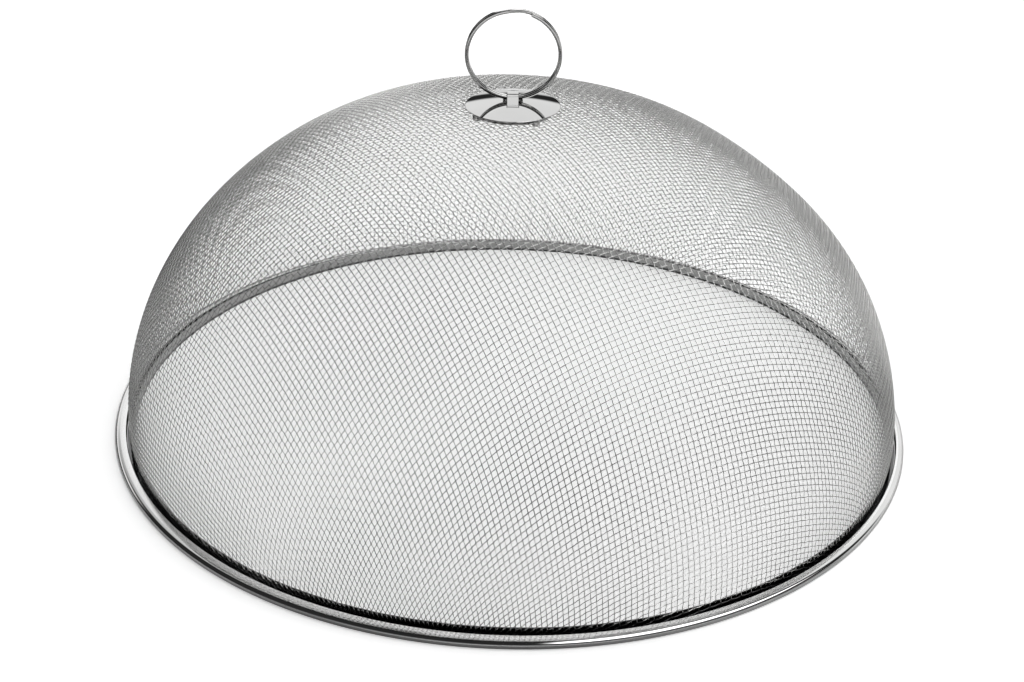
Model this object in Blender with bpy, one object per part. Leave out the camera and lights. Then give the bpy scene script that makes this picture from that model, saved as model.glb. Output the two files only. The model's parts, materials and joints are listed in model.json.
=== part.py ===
"""Stainless steel mesh food cover: a woven wire dome on a rolled rim, with a split ring to lift it by.

Metres, +Z up. The origin is the middle of the rim's underside, and the photographed front faces -Y.
Pieces: mesh_dome, rim_band, rim_core_wire, inner_hoop, cap, backing_disc, lift_ring.
"""

import math

import bmesh
import bpy
from mathutils import Matrix, Vector

# Clearances and cuts
GAP = 0.0003
OVERRUN = 0.002

# Rim: a strip with a flat flange and an outer edge rolled round a wire
COVER_RADIUS = 0.150
RIM_WIDTH = 0.00445
STRIP = 0.0005
BEAD_RADIUS = 0.00175
CORE_WIRE_RADIUS = 0.00092
BEAD_TURN = math.radians(290)
RIM_SEGMENTS = 72

# Mesh dome: half an ellipsoid of wire cloth, drawn with every ninth wire, a little pressed in at the crown
CLOTH_HEIGHT = 0.12465
CLOTH_SPRING_HEIGHT = 0.00455
CROWN_DIP = 0.0014
CROWN_DIP_RADIUS = 0.032
WIRE_PITCH = 0.00203
WIRES_PER_DRAWN_WIRE = 9
DRAWN_WIRE = 0.0008
CLOTH_TURN = math.radians(30)

# Inner hoop: an L section that closes the mesh foot in from inside and below
HOOP_CLEARANCE = 0.00055
HOOP_HEIGHT = 0.0045

# Cap: a shallow pressed disc with a raised strip and four tabs
CAP_RADIUS = 0.017
CAP_STRIP = 0.00045
CAP_RISE = 0.0022
CAP_SEGMENTS = 48
CAP_RINGS = 5
BRIDGE_WIDTH = 0.0039
BRIDGE_FOOT = 0.0046
SLOT_HALF_LENGTH = 0.0036
SLOT_HALF_WIDTH = 0.0033
TAB_WIDTH = 0.0022
TAB_INSET = 0.0010
TAB_FOLD = 0.0032
TAB_COUNT = 4
TAB_TURN = math.radians(38)

# Backing disc, under the mesh
DISC_RADIUS = 0.0147
DISC_STRIP = 0.0005
DISC_SEGMENTS = 36
DISC_RINGS = 3

# Split ring: two turns of flat wire, with the cross-over just short of the visible end
RING_RADIUS = 0.0170
RING_WIRE_DEPTH = 0.0014
RING_WIRE_WIDTH = 0.0010
RING_LOWEST_ABOVE_CAP = 0.0005
RING_LEAN = math.radians(6)
BRIDGE_CLEARANCE = 0.0002
RING_START = math.radians(22)
RING_CROSS = math.radians(30)
RING_END_GAP = math.radians(3)
RING_STEPS = 64

CLOTH_RISE = CLOTH_HEIGHT - CLOTH_SPRING_HEIGHT
FLANGE_INNER_RADIUS = COVER_RADIUS - RIM_WIDTH
CLOTH_RADIUS = FLANGE_INNER_RADIUS - GAP - DRAWN_WIRE / 2
BEAD_CENTRE_RADIUS = COVER_RADIUS - BEAD_RADIUS
BEAD_HEIGHT = 2 * BEAD_RADIUS
HOOP_OUTER_RADIUS = CLOTH_RADIUS - DRAWN_WIRE / 2 - HOOP_CLEARANCE
HOOP_INNER_RADIUS = HOOP_OUTER_RADIUS - STRIP
FOOT_HEIGHT = STRIP + GAP


def crown_dip(radius):
    """How far the cap's clamping draws the cloth down at this distance from the axis."""
    return CROWN_DIP * math.exp(-((radius / CROWN_DIP_RADIUS) ** 2))


def cloth_height_at(radius):
    """Height of the cloth's middle surface at this distance from the axis."""
    arch = CLOTH_RISE * math.sqrt(1 - (radius / CLOTH_RADIUS) ** 2)
    return CLOTH_SPRING_HEIGHT + arch - crown_dip(radius)


CAP_EDGE_HEIGHT = cloth_height_at(CAP_RADIUS) + DRAWN_WIRE / 2 + GAP
CAP_TOP_HEIGHT = CAP_EDGE_HEIGHT + CAP_RISE
RING_MIDDLE_RADIUS = RING_RADIUS - RING_WIRE_DEPTH / 2
RING_HALF_DEPTH = RING_WIRE_DEPTH / 2
RING_LAYER_OFFSET = (RING_WIRE_WIDTH + GAP) / 2
RING_HALF_WIDTH = RING_LAYER_OFFSET + RING_WIRE_WIDTH / 2
PIVOT_HEIGHT = CAP_TOP_HEIGHT + RING_LOWEST_ABOVE_CAP + RING_HALF_DEPTH
RING_SWEPT_RADIUS = math.hypot(RING_HALF_DEPTH, RING_HALF_WIDTH)
BRIDGE_UNDERSIDE = PIVOT_HEIGHT + RING_SWEPT_RADIUS + BRIDGE_CLEARANCE
BRIDGE_FLAT = RING_HALF_WIDTH + GAP


def clear_scene():
    for item in list(bpy.data.objects):
        bpy.data.objects.remove(item, do_unlink=True)


def steel(name, colour, roughness):
    """A polished or brushed stainless steel."""
    material = bpy.data.materials.new(name)
    material.use_nodes = True
    shader = material.node_tree.nodes["Principled BSDF"]
    shader.inputs["Base Color"].default_value = (*colour, 1)
    shader.inputs["Metallic"].default_value = 1
    shader.inputs["Roughness"].default_value = roughness
    return material


def add_object(name, mesh, material, smooth_angle=math.radians(35)):
    mesh.materials.append(material)
    mesh.shade_smooth()
    mesh.set_sharp_from_angle(angle=smooth_angle)
    item = bpy.data.objects.new(name, mesh)
    bpy.context.collection.objects.link(item)
    return item


def mesh_from(name, points, faces):
    mesh = bpy.data.meshes.new(name)
    mesh.from_pydata(points, [], faces)
    mesh.validate()
    work = bmesh.new()
    work.from_mesh(mesh)
    bmesh.ops.recalc_face_normals(work, faces=work.faces)
    work.to_mesh(mesh)
    work.free()
    return mesh


def turned(name, profile, segments):
    """A closed ring: the profile, a loop of (radius, height) points, turned round Z."""
    points = []
    for k in range(segments):
        angle = 2 * math.pi * k / segments
        points += [(r * math.cos(angle), r * math.sin(angle), z) for r, z in profile]
    count = len(profile)
    faces = []
    for k in range(segments):
        here = k * count
        there = (k + 1) % segments * count
        for i in range(count):
            j = (i + 1) % count
            faces.append((here + i, there + i, there + j, here + j))
    return mesh_from(name, points, faces)


def arc(centre, radius, start, end, steps):
    """Points of an arc in a (radius, height) section."""
    found = []
    for k in range(steps + 1):
        angle = start + (end - start) * k / steps
        found.append((centre[0] + radius * math.cos(angle), centre[1] + radius * math.sin(angle)))
    return found


def boolean(item, other, operation):
    modifier = item.modifiers.new(operation.title(), "BOOLEAN")
    modifier.operation = operation
    modifier.object = other
    modifier.solver = "EXACT"
    other.hide_render = True
    other.display_type = "WIRE"


def box(name, low, high, turn=0.0):
    """A helper box between two corners, turned about Z."""
    mesh = bpy.data.meshes.new(name)
    work = bmesh.new()
    bmesh.ops.create_cube(work, size=1)
    size = Vector(high) - Vector(low)
    middle = (Vector(high) + Vector(low)) / 2
    place = Matrix.Rotation(turn, 4, "Z") @ Matrix.Translation(middle) @ Matrix.Diagonal((*size, 1))
    bmesh.ops.transform(work, matrix=place, verts=work.verts)
    work.to_mesh(mesh)
    work.free()
    item = bpy.data.objects.new(name, mesh)
    bpy.context.collection.objects.link(item)
    return item


def rim_band(material):
    centre = (BEAD_CENTRE_RADIUS, BEAD_RADIUS)
    top = math.pi / 2
    end = top - BEAD_TURN
    profile = [
        (FLANGE_INNER_RADIUS, FOOT_HEIGHT),
        (FLANGE_INNER_RADIUS, BEAD_HEIGHT - STRIP / 2),
        (FLANGE_INNER_RADIUS + STRIP / 2, BEAD_HEIGHT),
    ]
    profile += arc(centre, BEAD_RADIUS, top, end, 10)
    profile += arc(centre, BEAD_RADIUS - STRIP, end, top, 8)
    profile += [
        (FLANGE_INNER_RADIUS + STRIP, BEAD_HEIGHT - STRIP),
        (FLANGE_INNER_RADIUS + STRIP, FOOT_HEIGHT),
    ]
    return add_object("rim_band", turned("rim_band", profile, RIM_SEGMENTS), material)


def rim_core_wire(material):
    profile = arc((BEAD_CENTRE_RADIUS, BEAD_RADIUS), CORE_WIRE_RADIUS, 0, 2 * math.pi, 6)[:-1]
    return add_object("rim_core_wire", turned("rim_core_wire", profile, RIM_SEGMENTS), material)


def inner_hoop(material):
    foot_radius = FLANGE_INNER_RADIUS + STRIP
    profile = [
        (HOOP_INNER_RADIUS, 0),
        (foot_radius, 0),
        (foot_radius, STRIP),
        (HOOP_OUTER_RADIUS, STRIP),
        (HOOP_OUTER_RADIUS, HOOP_HEIGHT - STRIP / 2),
        (HOOP_OUTER_RADIUS - STRIP / 2, HOOP_HEIGHT),
        (HOOP_INNER_RADIUS, HOOP_HEIGHT - STRIP / 2),
    ]
    return add_object("inner_hoop", turned("inner_hoop", profile, RIM_SEGMENTS), material)


def on_cloth(guess, first, second, pitch):
    """The crossing one pitch from two known crossings, found on the dome by Newton's method.

    Below the spring line the dome goes on straight down, so that the cloth reaches its foot.
    """
    point = Vector(guess)
    for _ in range(12):
        rise = max(point.z - CLOTH_SPRING_HEIGHT, 0.0)
        off = (point.x ** 2 + point.y ** 2) / CLOTH_RADIUS ** 2 + (rise / CLOTH_RISE) ** 2 - 1
        slope = Vector((
            2 * point.x / CLOTH_RADIUS ** 2,
            2 * point.y / CLOTH_RADIUS ** 2,
            2 * rise / CLOTH_RISE ** 2,
        ))
        to_first = point - first
        to_second = point - second
        rows = Matrix((slope, 2 * to_first, 2 * to_second))
        wrong = Vector((off, to_first.length_squared - pitch ** 2, to_second.length_squared - pitch ** 2))
        point -= rows.inverted() @ wrong
    return point


def main_wire(pitch, count):
    """Crossings at equal chords down one meridian, as (radius, height)."""
    found = [(0.0, CLOTH_HEIGHT)]
    for _ in range(count):
        radius, height = found[-1]
        low, high = -math.pi / 2, math.pi / 2
        for _ in range(40):
            dip = (low + high) / 2
            r = radius + pitch * math.cos(dip)
            z = height - pitch * math.sin(dip)
            rise = max(z - CLOTH_SPRING_HEIGHT, 0.0)
            inside = (r / CLOTH_RADIUS) ** 2 + (rise / CLOTH_RISE) ** 2 < 1
            low, high = (low, dip) if inside else (dip, high)
        found.append((r, z))
    return found


def cloth_net(pitch):
    """Crossings of square cloth pressed over the dome, by quarter, row and column.

    Two wires run straight over the crown, and every other crossing lies one pitch from two neighbours,
    so the square cells close to diamonds between the main wires.
    """
    count = math.ceil(1.05 * (CLOTH_RADIUS + CLOTH_RISE) / pitch)
    spine = main_wire(pitch, count)
    net = {}
    for i, (r, z) in enumerate(spine):
        net[i, 0] = Vector((r, 0, z))
        net[0, i] = Vector((0, r, z))
    for i in range(1, count):
        for j in range(1, count):
            before, beside, behind = net.get((i - 1, j)), net.get((i, j - 1)), net.get((i - 1, j - 1))
            if before is None or beside is None or behind is None:
                continue
            if min(before.z, beside.z, behind.z) < FOOT_HEIGHT - OVERRUN:
                continue
            net[i, j] = on_cloth(before + beside - behind, before, beside, pitch)
    for point in net.values():
        point.z -= crown_dip(math.hypot(point.x, point.y))
    return net


def mesh_dome(material):
    pitch = WIRE_PITCH * WIRES_PER_DRAWN_WIRE
    net = cloth_net(pitch)
    work = bmesh.new()
    for quarter in range(4):
        turn = Matrix.Rotation(CLOTH_TURN + quarter * math.pi / 2, 3, "Z")
        for i, j in net:
            cell = [net.get(key) for key in ((i, j), (i + 1, j), (i + 1, j + 1), (i, j + 1))]
            if not all(cell) or max(point.z for point in cell) < FOOT_HEIGHT:
                continue
            work.faces.new([work.verts.new(turn @ point) for point in cell])
    bmesh.ops.remove_doubles(work, verts=work.verts, dist=DRAWN_WIRE / 2)
    bmesh.ops.recalc_face_normals(work, faces=work.faces)
    mesh = bpy.data.meshes.new("mesh_dome")
    work.to_mesh(mesh)
    work.free()
    item = add_object("mesh_dome", mesh, material)
    wires = item.modifiers.new("Wires", "WIREFRAME")
    wires.thickness = DRAWN_WIRE
    wires.use_boundary = True
    wires.use_even_offset = True
    reach = COVER_RADIUS
    below = box("below_mesh_foot", (-reach, -reach, -reach), (reach, reach, FOOT_HEIGHT))
    boolean(item, below, "DIFFERENCE")
    return item


def dome_disc(name, radius, thickness, height_at, rings, segments):
    """A closed disc whose outer side follows height_at(radius) and whose wall hangs below it."""
    points = [(0, 0, height_at(0.0)), (0, 0, height_at(0.0) - thickness)]
    for ring in range(1, rings + 1):
        r = radius * ring / rings
        for k in range(segments):
            angle = 2 * math.pi * k / segments
            x = r * math.cos(angle)
            y = r * math.sin(angle)
            points.append((x, y, height_at(r)))
            points.append((x, y, height_at(r) - thickness))
    faces = []

    def index(ring, k, side):
        return 2 + 2 * ((ring - 1) * segments + k % segments) + side

    for k in range(segments):
        faces.append((0, index(1, k, 0), index(1, k + 1, 0)))
        faces.append((1, index(1, k + 1, 1), index(1, k, 1)))
        for ring in range(1, rings):
            for side in (0, 1):
                faces.append((
                    index(ring, k, side),
                    index(ring + 1, k, side),
                    index(ring + 1, k + 1, side),
                    index(ring, k + 1, side),
                ))
        faces.append((
            index(rings, k, 0),
            index(rings, k, 1),
            index(rings, k + 1, 1),
            index(rings, k + 1, 0),
        ))
    return mesh_from(name, points, faces)


def cap_height(radius):
    return CAP_EDGE_HEIGHT + CAP_STRIP + (CAP_RISE - CAP_STRIP) * (1 - (radius / CAP_RADIUS) ** 2)


def strip_along(name, path, width, thickness, turn=0.0):
    """A flat strip that follows a path of (distance, height) points, its thickness outwards on the left."""
    outer = []
    for k, (d, z) in enumerate(path):
        before = path[max(k - 1, 0)]
        after = path[min(k + 1, len(path) - 1)]
        first = Vector((d - before[0], z - before[1]))
        second = Vector((after[0] - d, after[1] - z))
        sides = [Vector((-v.y, v.x)).normalized() for v in (first, second) if v.length > 0]
        middle = sum(sides, Vector((0, 0))).normalized()
        reach = thickness / middle.dot(sides[0])
        outer.append((d + middle.x * reach, z + middle.y * reach))
    loop = list(path) + outer[::-1]
    points = [(d, -width / 2, z) for d, z in loop] + [(d, width / 2, z) for d, z in loop]
    count = len(loop)
    faces = [tuple(range(count)), tuple(range(2 * count - 1, count - 1, -1))]
    for i in range(count):
        j = (i + 1) % count
        faces.append((i, j, count + j, count + i))
    mesh = mesh_from(name, points, faces)
    mesh.transform(Matrix.Rotation(turn, 4, "Z"))
    item = bpy.data.objects.new(name, mesh)
    bpy.context.collection.objects.link(item)
    return item


def cap(material):
    mesh = dome_disc("cap", CAP_RADIUS, CAP_STRIP, cap_height, CAP_RINGS, CAP_SEGMENTS)
    item = add_object("cap", mesh, material)
    slot = box(
        "cap_slot",
        (-SLOT_HALF_LENGTH, -SLOT_HALF_WIDTH, CAP_EDGE_HEIGHT - OVERRUN),
        (SLOT_HALF_LENGTH, SLOT_HALF_WIDTH, CAP_TOP_HEIGHT + OVERRUN),
    )
    boolean(item, slot, "DIFFERENCE")
    foot = cap_height(BRIDGE_FOOT) - CAP_STRIP * 3 / 4
    path = [
        (-BRIDGE_FOOT, foot),
        (-BRIDGE_FLAT - CAP_STRIP, BRIDGE_UNDERSIDE - CAP_STRIP),
        (-BRIDGE_FLAT + CAP_STRIP / 2, BRIDGE_UNDERSIDE),
        (BRIDGE_FLAT - CAP_STRIP / 2, BRIDGE_UNDERSIDE),
        (BRIDGE_FLAT + CAP_STRIP, BRIDGE_UNDERSIDE - CAP_STRIP),
        (BRIDGE_FOOT, foot),
    ]
    bridge = strip_along("cap_bridge", path, BRIDGE_WIDTH, CAP_STRIP, math.pi / 2)
    boolean(item, bridge, "UNION")
    tab_outer = CAP_RADIUS - TAB_INSET
    tab_inner = tab_outer - TAB_FOLD
    under_disc = disc_height(DISC_RADIUS) - DISC_STRIP - GAP - CAP_STRIP
    path = [
        (tab_inner, under_disc + disc_height(tab_inner) - disc_height(tab_outer)),
        (tab_outer, under_disc),
        (tab_outer, cap_height(tab_outer) - CAP_STRIP / 4),
    ]
    for k in range(TAB_COUNT):
        turn = TAB_TURN + 2 * math.pi * k / TAB_COUNT
        tab = strip_along(f"cap_tab_{k + 1}", path, TAB_WIDTH, CAP_STRIP, turn)
        boolean(item, tab, "UNION")
    return item


def disc_height(radius):
    return cloth_height_at(radius) - DRAWN_WIRE / 2 - GAP


def backing_disc(material):
    mesh = dome_disc("backing_disc", DISC_RADIUS, DISC_STRIP, disc_height, DISC_RINGS, DISC_SEGMENTS)
    return add_object("backing_disc", mesh, material)


def lift_ring(material):
    """Two turns of flat wire side by side. Its origin is the hinge: the middle of its lowest stretch."""
    whole = 4 * math.pi - RING_CROSS - 2 * RING_END_GAP
    cross_from = 2 * math.pi - RING_CROSS - RING_END_GAP
    points = []
    for k in range(2 * RING_STEPS + 1):
        along = whole * k / (2 * RING_STEPS)
        share = min(max((along - cross_from) / RING_CROSS, 0.0), 1.0)
        shift = RING_LAYER_OFFSET * (2 * share * share * (3 - 2 * share) - 1)
        angle = RING_START + along
        for depth, width in ((-1, -1), (1, -1), (1, 1), (-1, 1)):
            r = RING_MIDDLE_RADIUS + depth * RING_HALF_DEPTH
            points.append((
                r * math.sin(angle),
                shift + width * RING_WIRE_WIDTH / 2,
                RING_MIDDLE_RADIUS + r * math.cos(angle),
            ))
    last = len(points) - 4
    faces = [(0, 1, 2, 3), (last + 3, last + 2, last + 1, last)]
    for start in range(0, last, 4):
        for i in range(4):
            j = (i + 1) % 4
            faces.append((start + i, start + 4 + i, start + 4 + j, start + j))
    item = add_object("lift_ring", mesh_from("lift_ring", points, faces), material)
    item.location = (0, 0, PIVOT_HEIGHT)
    item.rotation_euler = (RING_LEAN, 0, 0)
    return item


def build():
    clear_scene()
    polished = (0.80, 0.80, 0.79)
    woven = (0.62, 0.62, 0.61)
    mesh_dome(steel("woven_steel", woven, 0.35))
    rim_band(steel("rim_steel", polished, 0.12))
    rim_core_wire(steel("core_wire_steel", woven, 0.40))
    inner_hoop(steel("hoop_steel", polished, 0.25))
    cap(steel("cap_steel", polished, 0.08))
    backing_disc(steel("disc_steel", polished, 0.30))
    lift_ring(steel("ring_steel", polished, 0.10))


build()
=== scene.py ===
"""Looks of the stainless steel mesh food cover: woven cloth, rolled rim, pressed cap and split ring."""

import json
import math

import bpy
import numpy as np
from mathutils import Matrix, Vector

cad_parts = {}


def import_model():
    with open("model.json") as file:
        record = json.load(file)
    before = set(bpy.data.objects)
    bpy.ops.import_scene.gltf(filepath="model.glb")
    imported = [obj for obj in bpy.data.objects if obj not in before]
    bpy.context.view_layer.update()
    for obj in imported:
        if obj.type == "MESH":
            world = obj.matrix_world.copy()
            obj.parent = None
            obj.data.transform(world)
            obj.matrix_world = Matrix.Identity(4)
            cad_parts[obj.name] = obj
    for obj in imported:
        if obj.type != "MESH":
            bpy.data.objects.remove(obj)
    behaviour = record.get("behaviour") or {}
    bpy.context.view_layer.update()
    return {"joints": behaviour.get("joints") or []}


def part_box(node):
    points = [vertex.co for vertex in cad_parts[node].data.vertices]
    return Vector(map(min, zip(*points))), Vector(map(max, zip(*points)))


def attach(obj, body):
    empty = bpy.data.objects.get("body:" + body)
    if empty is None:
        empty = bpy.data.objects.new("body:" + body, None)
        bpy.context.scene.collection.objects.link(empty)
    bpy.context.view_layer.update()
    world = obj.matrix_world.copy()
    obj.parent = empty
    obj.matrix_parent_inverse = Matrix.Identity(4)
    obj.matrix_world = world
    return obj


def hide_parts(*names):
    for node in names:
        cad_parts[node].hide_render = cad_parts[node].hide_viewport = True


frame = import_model()
bpy.ops.object.select_all(action="DESELECT")

MM = 0.001

# The cover, from the solids where they give a size
COVER_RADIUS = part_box("rim_band")[1][0]
BEAD_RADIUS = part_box("rim_band")[1][2] / 2
STRIP = 0.5 * MM
CLOTH_RADIUS = COVER_RADIUS - 5.15 * MM
CLOTH_TOP = 124.65 * MM
CLOTH_SPRING = 4.55 * MM
CLOTH_FOOT = 0.85 * MM
CROWN_DIP = 1.4 * MM
CROWN_DIP_RADIUS = 32 * MM
CLOTH_TURN = math.radians(30)

# The real cover is pressed a little oval, long from the back left to the front right
OVAL_SHARE = 0.0086

# Its cloth sits a little to the right in the rim, and the flange's inner edge follows it
SEAT_SHIFT = 0.7 * MM
SEAT_EDGE = COVER_RADIUS - 2.2 * MM
SEAT_BLEND = 0.8 * MM

# The cloth is also a little fuller at the upper left and flatter at the right, away from the cap
FULL_PLACE = (-60 * MM, 38 * MM)
FULL_REACH = 50 * MM
FULL_LIFT = 0.7 * MM
FLAT_PLACE = (88 * MM, 25 * MM)
FLAT_REACH = 28 * MM
FLAT_INWARD = 1.2 * MM
FLAT_FROM = 4 * BEAD_RADIUS
FLAT_BLEND = CLOTH_TOP / 3
CAP_ZONE = 36 * MM

# Wires of the cloth: the longest run from the crown to the foot, and the fewest crossings of a wire
LONGEST_RUN = 214.2 * MM
FEWEST_CROSSINGS = 3
WIRE_PITCH = 2.03 * MM
WIRE_RADIUS = 0.165 * MM
WIRE_CRIMP = 0.18 * MM
WIRE_SIDES = 4
PIECES_PER_DIRECTION = 4
HALVINGS = 36
SOLVER_STEPS = 8

# Rim, its core wire and the hoop inside the cloth. The flange falls to a bead a little smaller
FLANGE_INNER = CLOTH_RADIUS + 1.35 * MM
FLANGE_TOP = 2 * BEAD_RADIUS
FLANGE_FALL = 0.32 * MM
FLANGE_CORNER = 0.35 * MM
BEAD_TURN = math.radians(290)
LOW_BEAD_RADIUS = (FLANGE_TOP - FLANGE_FALL) / 2
BEAD_CENTRE = (COVER_RADIUS - LOW_BEAD_RADIUS, LOW_BEAD_RADIUS)
CORE_LOW, CORE_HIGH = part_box("rim_core_wire")
CORE_RADIUS = (CORE_HIGH[2] - CORE_LOW[2]) / 2
HOOP_OUTER = CLOTH_RADIUS - 0.95 * MM
HOOP_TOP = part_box("inner_hoop")[1][2]
HOOP_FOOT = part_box("inner_hoop")[1][0]
# Height under which the hoop is coloured with painted shade
HOOP_SHADE_TOP = 2 * STRIP

# Steps of the round forms, and how steep an edge between faces may be and still shade smooth
STEPS_ROUND = 288
CORNER_STEPS = 5
BEAD_STEPS = 28
BEAD_INSIDE_STEPS = 20
CORE_STEPS = 16
EDGE_STEPS = 6
SPUN_SMOOTH = math.radians(30)
CUT_SMOOTH = math.radians(40)
DISC_SMOOTH = math.radians(50)
MERGE = 0.001 * MM

# Cap, its tabs and the backing disc
CAP_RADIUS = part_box("cap")[1][0]
CAP_STRIP = 0.45 * MM
PIVOT = Vector(frame["joints"][0]["pos_m"])
CAP_TOP = PIVOT.z - 1.2 * MM
CAP_RISE = 2.2 * MM
CAP_ROWS = 34
CAP_SEGMENTS = 132
ROW_POWER = 0.85
BRIDGE_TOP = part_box("cap")[1][2]
BRIDGE_HALF_WIDTH = 1.95 * MM
BRIDGE_SIDE_SLACK = 0.01 * MM
BRIDGE_FLAT = 1.3 * MM
BRIDGE_FOOT = 7.2 * MM
SLOT_LENGTH = 1.55 * MM
SLOT_HALF_WIDTH = 2.3 * MM
KERF = 0.25 * MM
KERF_REACH = 6.9 * MM
CUT_DEPTH = 4 * CAP_STRIP
TAB_COUNT = 4
TAB_TURN = math.radians(33)
TAB_WIDTH = 2.2 * MM
TAB_OUTER = CAP_RADIUS - 1.0 * MM
TAB_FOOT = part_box("cap")[0][2]
TAB_FOLD = 3.2 * MM
TAB_FOLD_RISE = 0.25 * MM
TAB_BEVEL = 0.12 * MM
TAB_BEVEL_STEPS = 2
INWARD_NORMAL = -0.9
DISC_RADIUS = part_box("backing_disc")[1][0]
DISC_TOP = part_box("backing_disc")[1][2]
DISC_ROWS = 12
DISC_SEGMENTS = 120

# Split ring
RING_MIDDLE = 16.3 * MM
RING_LEAN = math.radians(6)
RING_DEPTH = 1.4 * MM
RING_WIDTH = 1.0 * MM
RING_LAYER = 0.65 * MM
RING_CORNER = 0.46 * MM
RING_CORNER_STEPS = 4
RING_START = math.radians(22)
RING_CROSS = math.radians(30)
RING_END_GAP = math.radians(3)
RING_TAPER = math.radians(16)
RING_TAPER_SHARE = 0.6
RING_STEPS = 360

# Camera, worked out from the outline of the rim, the dome and the cap
FRAME_WIDTH = 1024
FOCAL_PIXELS = 1694
CAMERA_DISTANCE = 4.393 * COVER_RADIUS
CAMERA_ELEVATION = math.radians(30.42)
CAMERA_ROLL = math.radians(-0.83)
AIM_DOWN_PIXELS = 65.9
AIM_RIGHT_PIXELS = 2.6
SENSOR = 36.0
CLIP_START = 10 * MM

# Tones of the steel, and the lowest and highest roughness of each finish
BRIGHT = (0.66, 0.66, 0.655)
WIRE_TONE = (0.77, 0.77, 0.76)
RING_TONE = (0.52, 0.52, 0.515)
POLISHED = (0.76, 0.76, 0.755)
# Painted shade: the dark colour given to the steel in the narrow gaps
SHADED = (0.14, 0.14, 0.14)
SATIN = (0.96, 0.96, 0.955)
DARKER_SHARE = 0.94
WIRE_ROUGHNESS = (0.16, 0.28)
RIM_ROUGHNESS = (0.05, 0.14)
HOOP_ROUGHNESS = (0.05, 0.12)
CORE_ROUGHNESS = (0.25, 0.40)
DISC_ROUGHNESS = (0.12, 0.26)
MIRROR_ROUGHNESS = (0.01, 0.04)
SATIN_ROUGHER = 0.14
SATIN_EDGE = COVER_RADIUS - 1.2 * BEAD_RADIUS

# Fine lines and soft blotches in the steel, and how much of the lines shows as relief
LINE_SCALE = 3000.0
WIRE_LINE_SCALE = 1200.0
LINE_DEPTH = 0.3
LINE_DETAIL = 4
BLOTCH_SCALE = 60.0
BLOTCH_DETAIL = 3
NOISE_LOW = 0.1
NOISE_HIGH = 0.45
TONE_LOW = 0.3
TONE_HIGH = 0.7
STRIP_RELIEF = 0.02
CAP_RELIEF = 0.004
RELIEF_HEIGHT = 0.02 * MM
FACING_LEAST = 0.3 * COVER_RADIUS

# Soft light above the cap
CARD_SIZE = 120 * MM
CARD_HEIGHT = 300 * MM
CARD_WATTS = 0.045

# White on the floor for the camera and distant mirrors, with painted light outside the cover and painted
# shade at the front
FLOOR_SIZE = 12.0
FLOOR_DROP = 0.05 * MM
FLOOR_TONE = (0.90, 0.90, 0.90, 1)
FLOOR_LIFT = 0.50
OUTSIDE_LIFT = 0.16
FRONT_FALL = 0.05
# Painted shade: how much darker mirrors see the floor's colour close around the cover and at its left
FLOOR_SHADE = 0.66

# Where the floor's ramps start and end, in cover radii: from the axis, to the right or to the back
MIRRORS_FAR_SHARES = (1.08, 1.6)
MIRRORS_BEHIND_SHARES = (0.0, 0.6)
MIRRORS_ASIDE_SHARES = (0.9, 0.3)
OUTSIDE_LIFT_SHARES = (0.96, 1.02)
FRONT_FALL_SHARES = (0.2, -0.9)
SHADE_OUTSIDE_SHARES = (0.96, 0.98)
SHADE_NEAR_SHARES = (1.20, 1.04)
SHADE_NEAR_RIGHT_SHARES = (0.9, 0.1)
SHADE_NEAR_LEFT_SHARES = (-0.95, -0.40)
SHADE_LEFT_SHARES = (-0.15, -0.8)
SHADE_LEFT_FAR_SHARES = (1.06, 1.20)

# Lights by their direction: low end, high end and soft edge along X, Y and Z, and the level.
# A direction's parts end at 1, so an end past that cuts nothing off
NO_END = 2.0
SWEEP = ((-0.6, NO_END, 0.15), (0.12, NO_END, 0.10), (-1.0, 0.12, 0.03), 0.8)
SIDE = ((0.45, NO_END, 0.10), (0.0, NO_END, 0.10), (0.12, 0.30, 0.04), 0.6)
ROOM = ((-0.75, NO_END, 0.25), (-NO_END, 0.0, 0.10), (-NO_END, 0.28, 0.08), 0.20)
RIGHT = ((0.14, 0.80, 0.05), (-NO_END, 0.14, 0.08), (0.62, 0.97, 0.04), 2.56)
WALL_BEHIND = (0.48, NO_END, 0.06)
WALL_HEIGHT = (0.27, 0.83, 0.03)
WALL_RIGHT_PART = (-0.38, NO_END, 0.12)
WALL_LOW_PART = (-1.0, 0.48, 0.05)
BASE_LIGHT = 0.024
WHITE = 1.0


def look_from(elevation, distance):
    """Camera at the photograph's place: aimed above the origin and rolled a little."""
    place = Vector((0, -math.cos(elevation), math.sin(elevation))) * distance
    forward = -place.normalized()
    right = Vector((1, 0, 0))
    up = right.cross(forward)
    tilt = Matrix.Rotation(math.atan2(AIM_DOWN_PIXELS, FOCAL_PIXELS), 3, right)
    forward = tilt @ forward
    up = tilt @ up
    pan = Matrix.Rotation(-math.atan2(AIM_RIGHT_PIXELS, FOCAL_PIXELS), 3, up)
    forward = pan @ forward
    right = pan @ right
    roll = Matrix.Rotation(CAMERA_ROLL, 3, forward)
    right = roll @ right
    up = roll @ up
    turn = Matrix((right, up, -forward)).transposed().to_4x4()
    data = bpy.data.cameras.new("camera")
    data.sensor_width = SENSOR
    data.lens = FOCAL_PIXELS * SENSOR / FRAME_WIDTH
    data.clip_start = CLIP_START
    camera = bpy.data.objects.new("camera", data)
    camera.matrix_world = Matrix.Translation(place) @ turn
    bpy.context.collection.objects.link(camera)
    bpy.context.scene.camera = camera


# Materials


def nodes_of(owner):
    """The node tree of a material or a world, emptied."""
    owner.use_nodes = True
    tree = owner.node_tree
    tree.nodes.clear()
    return tree


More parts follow.
